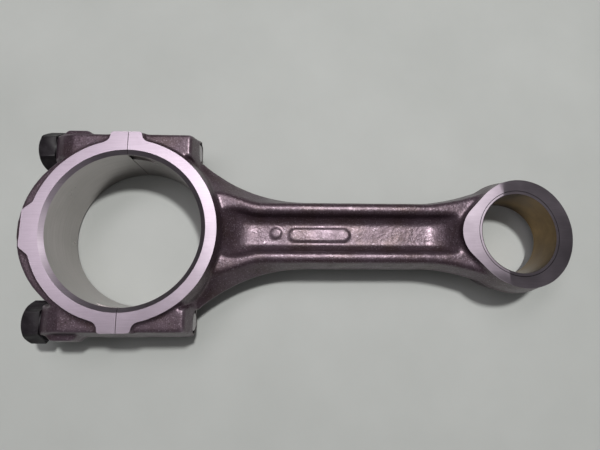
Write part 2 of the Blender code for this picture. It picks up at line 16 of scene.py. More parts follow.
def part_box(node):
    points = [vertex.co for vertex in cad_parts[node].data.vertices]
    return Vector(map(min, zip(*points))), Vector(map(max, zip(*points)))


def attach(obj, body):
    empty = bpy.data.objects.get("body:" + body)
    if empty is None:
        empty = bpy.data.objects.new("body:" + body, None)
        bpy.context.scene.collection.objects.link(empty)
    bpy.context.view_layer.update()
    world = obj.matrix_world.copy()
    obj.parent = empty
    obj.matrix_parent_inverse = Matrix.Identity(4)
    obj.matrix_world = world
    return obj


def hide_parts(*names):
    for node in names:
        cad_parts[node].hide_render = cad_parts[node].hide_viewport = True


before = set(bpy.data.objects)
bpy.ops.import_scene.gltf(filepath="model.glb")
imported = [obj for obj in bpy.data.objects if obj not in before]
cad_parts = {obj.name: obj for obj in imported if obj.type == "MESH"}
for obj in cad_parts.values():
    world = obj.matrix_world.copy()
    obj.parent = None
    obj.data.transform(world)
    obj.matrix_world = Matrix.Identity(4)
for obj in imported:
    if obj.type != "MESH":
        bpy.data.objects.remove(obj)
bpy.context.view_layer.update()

MM = 0.001
FIT_GAP = 0.3 * MM  # left between pieces that touch
REACH = 80.0 * MM  # cutters reach this far, past the big end on every side
BEYOND = 12.0 * MM  # how far other cutters pass through what they cut
OVERLAP = 6.0 * MM  # how far a boss is carried past the plane that trims it
NEAR = 0.02 * MM  # a face this close to a cutter's surface lies on it

# Big end
CENTRE_DISTANCE = 194.0 * MM
BIG_HALF = 19.15 * MM
BIG_BORE_RADIUS = 36.5 * MM
BIG_BORE_CHAMFER = 2.2 * MM  # across
BIG_BORE_CHAMFER_DEPTH = 1.3 * MM
BIG_BORE_PAST = 4.0 * MM  # how far the bore's cutter stands out of each face
RING_WALL = ((43.9 * MM, BIG_HALF), (45.6 * MM, 12.15 * MM), (46.8 * MM, 0.0))  # (radius, height)
STOCK = 3.5 * MM  # forged height above each face, which milling takes off

# Wings, bosses, rim and pad
WING_OUTER_Y = 50.8 * MM
BOSS_DRAFT = 2.9 * MM
ROD_WING_REACH = 6.5 * MM
CAP_WING_REACH = 8.5 * MM
WING_FILLET = 4.0 * MM
WING_ROOT_Y = 36.0 * MM
WING_PAST_JOINT = 4.0 * MM
BOSS_OUTER_Y = WING_OUTER_Y - 0.2 * MM
BOSS_ROOT_Y = 34.0 * MM
BOSS_CORNER = 3.0 * MM
ROD_BOSS_END_X = 32.8 * MM
ROD_BOSS_HALF_HEIGHT = 16.5 * MM
CAP_BOSS_HALF_HEIGHT = 16.1 * MM
CAP_BOSS_PAST_SEAT = 5.0 * MM
BOLT_SEAT_X = -38.5 * MM
BOLT_SEAT_CLEAR_Y = 32.3 * MM
# The cap's bosses round down to the seats: (x, height above the parting plane)
SEAT_ROUND = (
    (-27.0 * MM, 16.4 * MM),
    (-33.0 * MM, 14.0 * MM),
    (-36.5 * MM, 11.3 * MM),
    (-39.5 * MM, 7.6 * MM),
)
SEAT_ROUND_FROM_Y = 35.0 * MM
BULGE_OUTER_Y = 53.0 * MM
BULGE_HALF_HEIGHT = 9.6 * MM
BULGE_DRAFT = 1.1 * MM
BULGE_CENTRE_X = -28.5 * MM
BULGE_HALF_LENGTH = 8.5 * MM
BULGE_SINK = 0.6 * MM  # how far its root lies inside the boss
CAP_RIM_CENTRE_X = -8.3 * MM
CAP_RIM_RADIUS = 44.1 * MM
CAP_RIM_HALF_HEIGHT = 15.2 * MM
CAP_RIM_DRAFT = 1.8 * MM
PAD_END_X = -46.9 * MM
PAD_HALF_WIDTH = 9.0 * MM
PAD_ROOT_HALF_WIDTH = 12.0 * MM
PAD_ROOT_X = -42.6 * MM
PAD_DRAFT = 2.6 * MM
PAD_INSIDE_X = -30.0 * MM

# Small end
SMALL_HALF = 15.15 * MM
PIN_RADIUS = 20.0 * MM
BUSH_WALL = 1.4 * MM
BUSH_CHAMFER = 0.5 * MM
EYE_CENTRE_X = CENTRE_DISTANCE + 1.5 * MM
EYE_RADIUS = 29.2 * MM
EYE_DRAFT = 2.1 * MM
NOSE_CENTRE_X = 180.0 * MM
NOSE_RADIUS = 18.0 * MM
SMALL_FACE_FROM_X = 150.0 * MM
WEDGE_START_X = 186.0 * MM
WEDGE_CUT_FROM_X = NOSE_CENTRE_X - 4.0 * MM
WEDGE_MOUTH_DEPTH = 0.7 * MM
WEDGE_SLOPE = 0.165
TIP_X = EYE_CENTRE_X + EYE_RADIUS

# Shank
SHANK_HALF_WIDTH = 17.0 * MM
SHANK_HALF_HEIGHT = 12.05 * MM
WEB_HALF_HEIGHT = 4.0 * MM
FLANGE_OUTER_Y = 13.6 * MM
FLANGE_INNER_Y = 10.5 * MM
FLOOR_HALF_WIDTH = 5.2 * MM
EDGE_ROUND = 1.3 * MM
SHANK_FROM_X = 22.0 * MM
SHANK_TO_X = 184.0 * MM
SHANK_STATIONS = 216
PARTING_HALF_LAND = 0.8 * MM
# The shank widens towards the big end and, as a neck, towards the small end: from x, by this much over a run
SHOULDER_FROM_X = 90.0 * MM
SHOULDER_RUN = 47.8 * MM
SHOULDER_SPREAD = 13.7 * MM
SHOULDER_POWER = 2.3
NECK_FROM_X = 148.0 * MM
NECK_RUN = 24.0 * MM
NECK_SPREAD = 4.4 * MM
NECK_POWER = 1.6
# The flanges' tops spread towards the big end
FLANGE_OUTER_FROM_X = 66.0 * MM
FLANGE_OUTER_RUN = 26.0 * MM
FLANGE_OUTER_SPREAD = 6.3 * MM
FLANGE_INNER_FROM_X = 64.0 * MM
FLANGE_INNER_RUN = 13.0 * MM
FLANGE_INNER_SPREAD = 2.6 * MM
# The recess's floor rises to the flanges' tops at both ends
RECESS_BIG_END_X = 64.0 * MM
RECESS_BIG_END_RUN = 19.5 * MM
RECESS_SMALL_END_X = 147.0 * MM
RECESS_SMALL_END_RUN = 17.0 * MM
RECESS_END_POWER = 2.5
# Shares of the way from the recess's floor to a flange's top: (across, up)
RECESS_WALL = ((0.0, 0.0), (0.36, 0.10), (0.60, 0.33), (0.78, 0.80), (0.88, 0.95), (1.06, 1.0))

# Bolts, M11 x 1.25, and dowel pins
BOLT_Y = 43.5 * MM
BOLT_RADIUS = 5.5 * MM
BOLT_TIP_X = 31.8 * MM
BOLT_HEAD_FLATS = 18.0 * MM
BOLT_HEAD_HEIGHT = 9.0 * MM
BOLT_HEAD_CHAMFER = 1.1 * MM
BOLT_WASHER_FACE = 0.5 * MM
BOLT_WASHER_INSET = 0.2 * MM
BOLT_TOP_INSET = 0.5 * MM
BOLT_TIP_CHAMFER = 1.3 * MM
BOLT_TIP_RUN_OUT = 1.5 * MM
BOLT_BRIGHT_TIP = 1.4 * MM  # the tip's length without black oxide
BOLT_EDGE_BEVEL = 0.25 * MM
ENVELOPE_PAST = 1.0 * MM  # how far the turned envelope of the head stands past its corners
THREAD_PITCH = 1.25 * MM
THREAD_DEPTH = 0.62 * MM
THREAD_LENGTH = 30.0 * MM
TAPPED_DEPTH = 0.5 * MM
TAPPED_FROM_X = 3.0 * MM
BOLT_HOLE_FROM_X = -70.0 * MM
DOWEL_RADIUS = 2.0 * MM
DOWEL_HALF_LENGTH = 5.8 * MM
DOWEL_Z = 12.5 * MM
TANG_CUTTER_RADIUS = 24.0 * MM
TANG_DEPTH = 1.4 * MM
TANG_LOW_Z = BIG_HALF - 8.4 * MM
TANG_HIGH_Z = BIG_HALF - 2.0 * MM

# What the dies leave on the skin
FLASH_HEIGHT = 0.38 * MM
FLASH_HALF_WIDTH = 0.85 * MM
WAVE_HEIGHT = 0.10 * MM
WAVE_LENGTH = 9.0 * MM
RIPPLE_HEIGHT = 0.035 * MM
RIPPLE_LENGTH = 2.6 * MM
MARK_HEIGHT = 0.5 * MM
MARK_SLOPE = 1.3 * MM
MARK_BELOW_FLANGE = 3.0 * MM
MARK_PAD = {"centre": (94.0 * MM, -0.3 * MM), "half_length": 15.5 * MM, "half_width": 3.4 * MM}
MARK_PIP = {"centre": (72.0 * MM, 0.6 * MM), "half_length": 2.7 * MM, "half_width": 2.7 * MM}

# How finely the pieces are made
SKIN_VOXEL = 0.72 * MM
SKIN_ROUNDS = 9
TURN_FACETS = 192
HOLE_FACETS = 48
THREAD_STEPS = 8  # for each turn of thread

# The setting, in metres and degrees
FLOOR_REACH = 12.0
CAMERA_FROM_ROD = Vector((74.775 * MM, -33.280 * MM, BIG_HALF + 210.573 * MM))
CAMERA_TURN = (9.60376, -2.37346, 0.01885)
CAMERA_SENSOR_MM = 36.0
CAMERA_LENS_MM = 26.883

# Finishes of a forging's faces, in the order of its material slots
FORGED, GROUND, HONED, MILLED, TAPPED = range(5)

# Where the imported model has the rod's own frame
BUSH_LOW, BUSH_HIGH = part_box("small_end_bush")
BODY_LOW, BODY_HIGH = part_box("rod_body")
ROD_ORIGIN = Vector((
    (BUSH_LOW[0] + BUSH_HIGH[0]) / 2 - CENTRE_DISTANCE,
    (BUSH_LOW[1] + BUSH_HIGH[1]) / 2,
    (BODY_LOW[2] + BODY_HIGH[2]) / 2,
))


# ---- mesh tools ----


def smooth(share):
    """0 below 0, 1 above 1, and an S-curve between."""
    share = min(max(share, 0.0), 1.0)
    return share * share * (3 - 2 * share)


def smooth_each(share):
    """The same for an array."""
    share = np.clip(share, 0.0, 1.0)
    return share * share * (3 - 2 * share)


def arc(centre_x, centre_y, radius, start_deg, end_deg, steps):
    """Points along an arc, both ends included."""
    points = []
    for step in range(steps + 1):
        angle = math.radians(start_deg + (end_deg - start_deg) * step / steps)
        points.append((centre_x + radius * math.cos(angle), centre_y + radius * math.sin(angle)))
    return points


def new_object(name, *shapes):
    """One object from bmeshes, which are freed."""
    merged = bmesh.new()
    for shape in shapes:
        bmesh.ops.recalc_face_normals(shape, faces=shape.faces)
        scratch = bpy.data.meshes.new("scratch")
        shape.to_mesh(scratch)
        shape.free()
        merged.from_mesh(scratch)
        bpy.data.meshes.remove(scratch)
    mesh = bpy.data.meshes.new(name)
    merged.to_mesh(mesh)
    merged.free()
    made = bpy.data.objects.new(name, mesh)
    bpy.context.scene.collection.objects.link(made)
    return made


def apply_modifiers(obj):
    graph = bpy.context.evaluated_depsgraph_get()
    made = bpy.data.meshes.new_from_object(obj.evaluated_get(graph))
    old = obj.data
    obj.modifiers.clear()
    obj.data = made
    bpy.data.meshes.remove(old)


def boolean(obj, operation, *tools):
    """Joins, cuts or intersects with each tool in turn. The tools are used up."""
    for tool in tools:
        made = obj.modifiers.new(tool.name, "BOOLEAN")
        made.operation = operation
        made.object = tool
        made.solver = "MANIFOLD"
    apply_modifiers(obj)
    for tool in tools:
        mesh = tool.data
        bpy.data.objects.remove(tool)
        bpy.data.meshes.remove(mesh)


def mirror_merged(shape, axis):
    everything = shape.verts[:] + shape.edges[:] + shape.faces[:]
    bmesh.ops.mirror(shape, geom=everything, axis=axis, merge_dist=1e-7)


def drafted_slab(outline, half_height, draft, both_sides=False):
    """A forged slab: the outline on the parting plane, its walls leaning in by draft at each face."""
    shape = bmesh.new()
    face = shape.faces.new([shape.verts.new((x, y, 0)) for x, y in outline])
    face.normal_update()
    if face.normal.z < 0:
        face.normal_flip()
    bmesh.ops.inset_region(
        shape, faces=[face], thickness=draft, depth=half_height, use_boundary=True, use_even_offset=True
    )
    mirror_merged(shape, "Z")
    if both_sides:
        mirror_merged(shape, "Y")
    return shape


def stocked_slab(outline, half_height, draft, both_sides=False):
    """A forged slab with stock above its faces, its walls leaning on at the same angle."""
    full_height = half_height + STOCK
    return drafted_slab(outline, full_height, draft * full_height / half_height, both_sides)


def skinned(rings, closed=False):
    """A bmesh with faces between rings of points. A ring of one point is a tip."""
    shape = bmesh.new()
    count = max(len(ring) for ring in rings)
    loops = []
    for ring in rings:
        verts = [shape.verts.new(point) for point in ring]
        loops.append(verts * count if len(verts) == 1 else verts)
    pairs = list(zip(loops, loops[1:]))
    if closed:
        pairs.append((loops[-1], loops[0]))
    for first, second in pairs:
        for i in range(count):
            j = (i + 1) % count
            corners = list(dict.fromkeys((first[i], first[j], second[j], second[i])))
            if len(corners) > 2:
                shape.faces.new(corners)
    return shape


def revolved(profile, closed=False, facets=TURN_FACETS, centre=(0.0, 0.0)):
    """A solid of revolution about Z from (radius, height) points."""
    angles = [2 * math.pi * i / facets for i in range(facets)]
    rings = []
    for radius, z in profile:
        places = [(centre[0] + radius * math.cos(a), centre[1] + radius * math.sin(a), z) for a in angles]
        rings.append(places if radius > 0 else places[:1])
    return skinned(rings, closed)


def threaded_bar(stations, radius_at, depth_at, facets=HOLE_FACETS):
    """A bar along X with a helical groove: its crest radius and groove depth at each station.

    Across one pitch the groove is flat at its bottom, with a straight flank on each side.
    """
    angles = [2 * math.pi * i / facets for i in range(facets)]
    rings = [[(stations[0], 0.0, 0.0)]]
    for x in stations:
        ring = []
        for angle in angles:
            turn = (x / THREAD_PITCH - angle / (2 * math.pi)) % 1.0
            groove = min(1.0, max(0.0, 1.15 - 2.6 * abs(turn - 0.5)))
            radius = radius_at(x) - depth_at(x) * groove
            ring.append((x, radius * math.cos(angle), radius * math.sin(angle)))
        rings.append(ring)
    rings.append([(stations[-1], 0.0, 0.0)])
    return skinned(rings)


def bar_along_x(radius, from_x, to_x, y, z, facets=HOLE_FACETS):
    angles = [2 * math.pi * i / facets for i in range(facets)]
    ends = []
    for x in (from_x, to_x):
        ends.append([(x, y + radius * math.cos(a), z + radius * math.sin(a)) for a in angles])
    return skinned([[(from_x, y, z)], *ends, [(to_x, y, z)]])


def block(low, high):
    shape = bmesh.new()
    size = [b - a for a, b in zip(low, high)]
    centre = [(a + b) / 2 for a, b in zip(low, high)]
    bmesh.ops.create_cube(shape, size=1.0, matrix=Matrix.Translation(centre) @ Matrix.Diagonal((*size, 1.0)))
    return shape


def prism_across_y(corners, half_width):
    """A prism whose (x, z) corners are swept from -half_width to half_width."""
    shape = bmesh.new()
    face = shape.faces.new([shape.verts.new((x, -half_width, z)) for x, z in corners])
    swept = bmesh.ops.extrude_face_region(shape, geom=[face])["geom"]
    moved = [item for item in swept if isinstance(item, bmesh.types.BMVert)]
    bmesh.ops.translate(shape, verts=moved, vec=(0, 2 * half_width, 0))
    return shape


# ---- forging blanks ----


def ring_shape():
    """The big end's ring as a solid disc, with stock above both faces."""
    (face_radius, face_z), (shoulder_radius, shoulder_z), (root_radius, _) = RING_WALL
    lean = (shoulder_radius - face_radius) / (face_z - shoulder_z)
    top = (face_radius - lean * STOCK, face_z + STOCK)
    upper = [top, (shoulder_radius, shoulder_z)]
    lower = [(radius, -z) for radius, z in reversed(upper)]
    return revolved([(0, top[1]), *upper, (root_radius, 0), *lower, (0, -top[1])])


def wing_shape(reach, side):
    """The two machined wings beside the joint, each joined to the ring by a concave arc."""
    edge_x = reach + BOSS_DRAFT
    centre_x = reach + WING_FILLET
    centre_y = math.sqrt((RING_WALL[0][0] + WING_FILLET) ** 2 - centre_x**2)
    towards_ring = 180 + math.degrees(math.atan2(centre_y, centre_x))
    fillet = arc(centre_x, centre_y, WING_FILLET - BOSS_DRAFT, 180, towards_ring, 8)
    inside = -BOSS_DRAFT - WING_PAST_JOINT
    outline = [(inside, WING_ROOT_Y), (inside, WING_OUTER_Y), (edge_x, WING_OUTER_Y), *fillet]
    outline.append((fillet[-1][0], WING_ROOT_Y))
    return stocked_slab([(side * x, y) for x, y in outline], BIG_HALF, BOSS_DRAFT, both_sides=True)


def rod_boss_shape():
    """The threaded bosses on the rod's side of the joint."""
    corner = arc(ROD_BOSS_END_X - BOSS_CORNER, BOSS_OUTER_Y - BOSS_CORNER, BOSS_CORNER, 90, 0, 8)
    outline = [(-OVERLAP, BOSS_ROOT_Y), (-OVERLAP, BOSS_OUTER_Y), *corner, (ROD_BOSS_END_X, BOSS_ROOT_Y)]
    return drafted_slab(outline, ROD_BOSS_HALF_HEIGHT, BOSS_DRAFT, both_sides=True)


def seat_round_cutters():
    """Four prisms that round the cap's bosses down to the bolt seats."""
    made = []
    outline = [*SEAT_ROUND, (-REACH, SEAT_ROUND[-1][1]), (-REACH, REACH), (SEAT_ROUND[0][0], REACH)]
    for side_y in (1, -1):
        shift = (0, side_y * (SEAT_ROUND_FROM_Y + REACH / 2), 0)
        for side_z in (1, -1):
            prism = prism_across_y([(x, side_z * z) for x, z in outline], REACH / 2)
            bmesh.ops.translate(prism, verts=prism.verts, vec=shift)
            made.append(new_object("seat_round", prism))
    return made


def cap_boss_shape():
    """The bosses that the bolts pass through, rounded down to the seats."""
    back_x = BOLT_SEAT_X - CAP_BOSS_PAST_SEAT
    outline = [(OVERLAP, BOSS_ROOT_Y), (OVERLAP, BOSS_OUTER_Y), (back_x, BOSS_OUTER_Y), (back_x, BOSS_ROOT_Y)]
    boss = new_object("boss", drafted_slab(outline, CAP_BOSS_HALF_HEIGHT, BOSS_DRAFT, both_sides=True))
    boolean(boss, "DIFFERENCE", *seat_round_cutters())
    shape = bmesh.new()
    mesh = boss.data
    shape.from_mesh(mesh)
    bpy.data.objects.remove(boss)
    bpy.data.meshes.remove(mesh)
    return shape


def cap_bulge_shape():
    """The swelling of the cap's bosses round the bolts."""
    root_y = BOSS_OUTER_Y - BULGE_SINK
    ramp = BULGE_OUTER_Y - root_y
    outline = []
    for side in (1, -1):
        root_x = BULGE_CENTRE_X + side * BULGE_HALF_LENGTH
        corner = [(root_x, BOLT_Y), (root_x, root_y), (root_x - side * ramp, BULGE_OUTER_Y)]
        outline += corner[::side]
    return drafted_slab(outline, BULGE_HALF_HEIGHT, BULGE_DRAFT, both_sides=True)


def cap_pad_shape():
    """The pad on the cap's back that is milled to bring the rod to weight."""
    outline = [
        (PAD_END_X - PAD_DRAFT, PAD_HALF_WIDTH + 0.4 * PAD_DRAFT),
        (PAD_ROOT_X - 0.5 * PAD_DRAFT, PAD_ROOT_HALF_WIDTH + 0.9 * PAD_DRAFT),
        (PAD_INSIDE_X, PAD_ROOT_HALF_WIDTH + PAD_DRAFT),
    ]
    outline += [(x, -y) for x, y in reversed(outline)]
    return stocked_slab(outline, BIG_HALF, PAD_DRAFT)


def cap_rim_shape():
    """The rim behind the cap's ring, round a centre of its own."""
    outline = arc(CAP_RIM_CENTRE_X, 0, CAP_RIM_RADIUS, 0, 360, TURN_FACETS)[:-1]
    return drafted_slab(outline, CAP_RIM_HALF_HEIGHT, CAP_RIM_DRAFT)


def eye_shape():
    """The small end: the eye and its nose towards the shank, under one tangent outline."""
    tangent = 180 - math.degrees(math.acos((EYE_RADIUS - NOSE_RADIUS) / (EYE_CENTRE_X - NOSE_CENTRE_X)))
    outline = arc(EYE_CENTRE_X, 0, EYE_RADIUS, -tangent, tangent, 144)
    outline += arc(NOSE_CENTRE_X, 0, NOSE_RADIUS, tangent, 360 - tangent, 72)
    return stocked_slab(outline, SMALL_HALF, EYE_DRAFT)


def shoulder_flare(x):
    """How much wider the shank is than its middle, towards the big end."""
    return SHOULDER_SPREAD * (max(SHOULDER_FROM_X - x, 0.0) / SHOULDER_RUN) ** SHOULDER_POWER


def neck_flare(x):
    """The same towards the small end."""
    return NECK_SPREAD * (max(x - NECK_FROM_X, 0.0) / NECK_RUN) ** NECK_POWER


def recess_rise(x):
    """How far the recess's floor has risen at x, as a share of the way to the flanges' tops."""
    big_end = (RECESS_BIG_END_X - x) / RECESS_BIG_END_RUN
    small_end = (x - RECESS_SMALL_END_X) / RECESS_SMALL_END_RUN
    return min(max(big_end, small_end, 0.0), 1.0) ** RECESS_END_POWER


def shank_quarter(x):
    """One quarter of the I-section at x, from the middle of the recess out to the parting line: (y, z)."""
    half_width = SHANK_HALF_WIDTH + shoulder_flare(x) + neck_flare(x)
    outer_spread = FLANGE_OUTER_SPREAD * smooth((FLANGE_OUTER_FROM_X - x) / FLANGE_OUTER_RUN)
    inner_spread = FLANGE_INNER_SPREAD * smooth((FLANGE_INNER_FROM_X - x) / FLANGE_INNER_RUN)
    outer_y = FLANGE_OUTER_Y + neck_flare(x) + outer_spread
    inner_y = FLANGE_INNER_Y + inner_spread
    floor_z = WEB_HALF_HEIGHT + (SHANK_HALF_HEIGHT - WEB_HALF_HEIGHT) * recess_rise(x)
    points = [(0.0, floor_z)]
    for across, up in RECESS_WALL:
        y = FLOOR_HALF_WIDTH + (inner_y - FLOOR_HALF_WIDTH) * across
        points.append((y, floor_z + (SHANK_HALF_HEIGHT - floor_z) * up))
    points.append((outer_y, SHANK_HALF_HEIGHT))
    points.append((outer_y + EDGE_ROUND, SHANK_HALF_HEIGHT - EDGE_ROUND))
    points.append((half_width, PARTING_HALF_LAND))
    return points


def shank_shape():
    """The shank and its shoulders, lofted through sections along X."""
    rings = []
    for station in range(SHANK_STATIONS + 1):
        x = SHANK_FROM_X + (SHANK_TO_X - SHANK_FROM_X) * station / SHANK_STATIONS
        quarter = shank_quarter(x)
        upper = [(-y, z) for y, z in reversed(quarter[1:])] + quarter
        section = upper + [(y, -z) for y, z in reversed(upper)]
        rings.append([(x, y, z) for y, z in section])
    shape = skinned(rings)
    for x in (SHANK_FROM_X, SHANK_TO_X):
        end = [vert for vert in shape.verts if abs(vert.co.x - x) < 1e-9]
        edges = [edge for edge in shape.edges if edge.verts[0] in end and edge.verts[1] in end]
        bmesh.ops.holes_fill(shape, edges=edges)
    return shape


# ---- the forged skin ----


def rounded_bar_depth(x, y, centre, half_length, half_width):
    """How far inside a bar with round ends each point lies, negative outside."""
    along = np.maximum(np.abs(x - centre[0]) - (half_length - half_width), 0.0)
    return half_width - np.hypot(along, y - centre[1])


def dress_skin(mesh):
    """What dies and trimming leave: a flash line, a slight waviness, a blank pad and a round pip."""
    count = len(mesh.vertices)
    places = np.empty(count * 3)
    normals = np.empty(count * 3)
    mesh.vertices.foreach_get("co", places)
    mesh.vertex_normals.foreach_get("vector", normals)
    places = places.reshape(-1, 3)
    normals = normals.reshape(-1, 3)
    x, y, z = places.T
    upright = smooth_each(1.6 - 2.5 * np.abs(normals[:, 2]))
    flash = FLASH_HEIGHT * np.exp(-((z / FLASH_HALF_WIDTH) ** 2)) * upright
    waves = np.array([noise.noise(Vector(place) / WAVE_LENGTH) for place in places])
    ripples = np.array([noise.noise(Vector(place) / RIPPLE_LENGTH) for place in places])
    lift = flash + WAVE_HEIGHT * waves + RIPPLE_HEIGHT * ripples
    marks = np.maximum(rounded_bar_depth(x, y, **MARK_PAD), rounded_bar_depth(x, y, **MARK_PIP))
    on_web = (z > 0) & (z < SHANK_HALF_HEIGHT - MARK_BELOW_FLANGE)
    lift += MARK_HEIGHT * on_web * smooth_each(marks / MARK_SLOPE + 0.5)
    mesh.vertices.foreach_set("co", (places + normals * lift[:, None]).ravel())
    mesh.update()


def forged_blank(name, *shapes):
    """One skin over the overlapping shapes, its corners and inner corners rounded like a forging's."""
    blank = new_object(name, *shapes)
    fuse = blank.modifiers.new("fuse", "REMESH")
    fuse.mode = "VOXEL"
    fuse.voxel_size = SKIN_VOXEL
    soften = blank.modifiers.new("soften", "SMOOTH")
    soften.factor = 0.5
    soften.iterations = SKIN_ROUNDS
    apply_modifiers(blank)
    dress_skin(blank.data)
    return blank


# ---- cutters ----


def face_cutters():
    """Blocks that mill the big end's and the small end's faces flat."""
    made = []
    for side in (1, -1):
        for name, half, from_x, to_x in (
            ("big_face", BIG_HALF, -REACH, REACH),
            ("small_face", SMALL_HALF, SMALL_FACE_FROM_X, TIP_X + BEYOND),
        ):
            low_z, high_z = sorted((side * half, side * (half + BEYOND)))
            made.append(new_object(name, block((from_x, -REACH, low_z), (to_x, REACH, high_z))))
    return made


def wedge_cutters():
    """Prisms that slope the small end's faces towards the tip."""
    made = []
    to_x = TIP_X + BEYOND
    for side in (1, -1):
        ends = (WEDGE_CUT_FROM_X, to_x)
        corners = [(x, side * (SMALL_HALF - WEDGE_SLOPE * (x - WEDGE_START_X))) for x in ends]
        corners += [(x, side * (SMALL_HALF + BEYOND)) for x in reversed(ends)]
        made.append(new_object("wedge", prism_across_y(corners, EYE_RADIUS + BEYOND)))
    return made


def big_bore_cutter():
    """The big end's bore with a chamfer at both mouths."""
    mouth = BIG_BORE_RADIUS + BIG_BORE_CHAMFER * (1 + BIG_BORE_PAST / BIG_BORE_CHAMFER_DEPTH)
    top_z = BIG_HALF + BIG_BORE_PAST
    upper = [(0, top_z), (mouth, top_z), (BIG_BORE_RADIUS, BIG_HALF - BIG_BORE_CHAMFER_DEPTH)]
    lower = [(radius, -z) for radius, z in reversed(upper)]
    return new_object("big_bore", revolved(upper + lower))


def eye_bore_cutter():
    """The small end's bore, which holds the bush."""
    radius = PIN_RADIUS + BUSH_WALL + FIT_GAP
    past = SMALL_HALF + BEYOND
    profile = [(0, past), (radius, past), (radius, -past), (0, -past)]
    return new_object("eye_bore", revolved(profile, centre=(CENTRE_DISTANCE, 0)))


def tang_cutter(side_y):
    """The disc that cuts a tang notch: deepest at the joint, running out along the bore."""
    centre = (0, side_y * (BIG_BORE_RADIUS + TANG_DEPTH - TANG_CUTTER_RADIUS))
    radius = TANG_CUTTER_RADIUS
    profile = [(0, TANG_HIGH_Z), (radius, TANG_HIGH_Z), (radius, TANG_LOW_Z), (0, TANG_LOW_Z)]
    return new_object("tang", revolved(profile, centre=centre))


def thread_cutters():
    """The tapped holes: plain where the bolt enters, threaded to where they leave the boss."""
    made = []
    stations = list(np.arange(-BEYOND, ROD_BOSS_END_X + BEYOND, THREAD_PITCH / THREAD_STEPS))
    for side in (1, -1):
        shape = threaded_bar(
            stations,
            lambda x: BOLT_RADIUS + FIT_GAP + TAPPED_DEPTH,
            lambda x: TAPPED_DEPTH if x > TAPPED_FROM_X else 0.0,
        )
        bmesh.ops.translate(shape, verts=shape.verts, vec=(0, side * BOLT_Y, 0))
        made.append(new_object("thread", shape))
    return made


def dowel_cutters():
    radius = DOWEL_RADIUS + FIT_GAP
    reach = DOWEL_HALF_LENGTH + FIT_GAP
    made = []
    for side in (1, -1):
        made.append(new_object("dowel", bar_along_x(radius, -reach, reach, side * BOLT_Y, side * DOWEL_Z)))
    return made


def seat_cutters():
    """Blocks that mill the cap's bolt seats."""
    made = []
    for side in (1, -1):
        low_y, high_y = sorted((side * BOLT_SEAT_CLEAR_Y, side * REACH))
        made.append(new_object("seat", block((-REACH, low_y, -REACH), (BOLT_SEAT_X, high_y, REACH))))
    return made


def joint_cutter(from_x, to_x):
    """A block that takes away the other side of the joint."""
    return new_object("joint", block((from_x, -REACH, -REACH), (to_x, REACH, REACH)))


# ---- finished forgings ----


def finish_slots(mesh):
    """The finish of each face, told from which cutter's surface it lies on."""
    count = len(mesh.polygons)
    centres = np.empty(count * 3)
    normals = np.empty(count * 3)
    mesh.polygons.foreach_get("center", centres)
    mesh.polygons.foreach_get("normal", normals)
    x, y, z = centres.reshape(-1, 3).T
    across, _, upright = np.abs(normals.reshape(-1, 3).T)
    flat = upright > 0.95
    from_big = np.hypot(x, y)
    from_small = np.hypot(x - CENTRE_DISTANCE, y)
    from_bolt = np.hypot(np.abs(y) - BOLT_Y, z)
    from_dowel = np.hypot(np.abs(y) - BOLT_Y, np.abs(z) - DOWEL_Z)
    slots = np.full(count, FORGED)
    slots[(across > 0.99) & (np.abs(x - BOLT_SEAT_X) < NEAR)] = MILLED
    in_bore = from_big < BIG_BORE_RADIUS + BIG_BORE_CHAMFER
    slots[in_bore] = HONED
    on_chamfer = (np.abs(z) > BIG_HALF - BIG_BORE_CHAMFER_DEPTH) & (from_big > BIG_BORE_RADIUS + NEAR)
    slots[in_bore & on_chamfer] = GROUND
    slots[from_small < PIN_RADIUS + BUSH_WALL + FIT_GAP + NEAR] = HONED
    slots[(across > 0.99) & (np.abs(x) < FIT_GAP)] = MILLED
    in_dowel_hole = from_dowel < DOWEL_RADIUS + FIT_GAP + NEAR
    slots[in_dowel_hole & (np.abs(x) < DOWEL_HALF_LENGTH + 2 * FIT_GAP)] = MILLED
    slots[(from_bolt < BOLT_RADIUS + FIT_GAP + TAPPED_DEPTH + 5 * NEAR) & (across < 0.95)] = TAPPED
    slots[flat & (np.abs(np.abs(z) - BIG_HALF) < NEAR)] = GROUND
    slots[flat & (np.abs(np.abs(z) - SMALL_HALF) < NEAR) & (x > SMALL_FACE_FROM_X)] = GROUND
    wedge_z = SMALL_HALF - WEDGE_SLOPE * (x - WEDGE_START_X)
    slots[flat & (np.abs(np.abs(z) - wedge_z) < NEAR) & (x > WEDGE_START_X)] = GROUND
    return slots


def shade(obj, slots, sharp_deg=15):
    """Smooth shading, with the edges of machined surfaces kept sharp."""
    shape = bmesh.new()
    shape.from_mesh(obj.data)
    shape.faces.ensure_lookup_table()
    for face, index in zip(shape.faces, slots):
        face.material_index = int(index)
        face.smooth = True
    limit = math.radians(sharp_deg)
    for edge in shape.edges:
        if len(edge.link_faces) != 2:
            continue
        first, second = (face.material_index for face in edge.link_faces)
        if first != second or (first != FORGED and edge.calc_face_angle(0) > limit):
            edge.smooth = False
    shape.to_mesh(obj.data)
    shape.free()


def place(obj, body, slot, *nodes):
    """Moves a finished piece from the rod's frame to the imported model's, for the nodes it stands for."""
    obj.data.transform(Matrix.Translation(ROD_ORIGIN))
    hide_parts(*nodes)
    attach(obj, body)


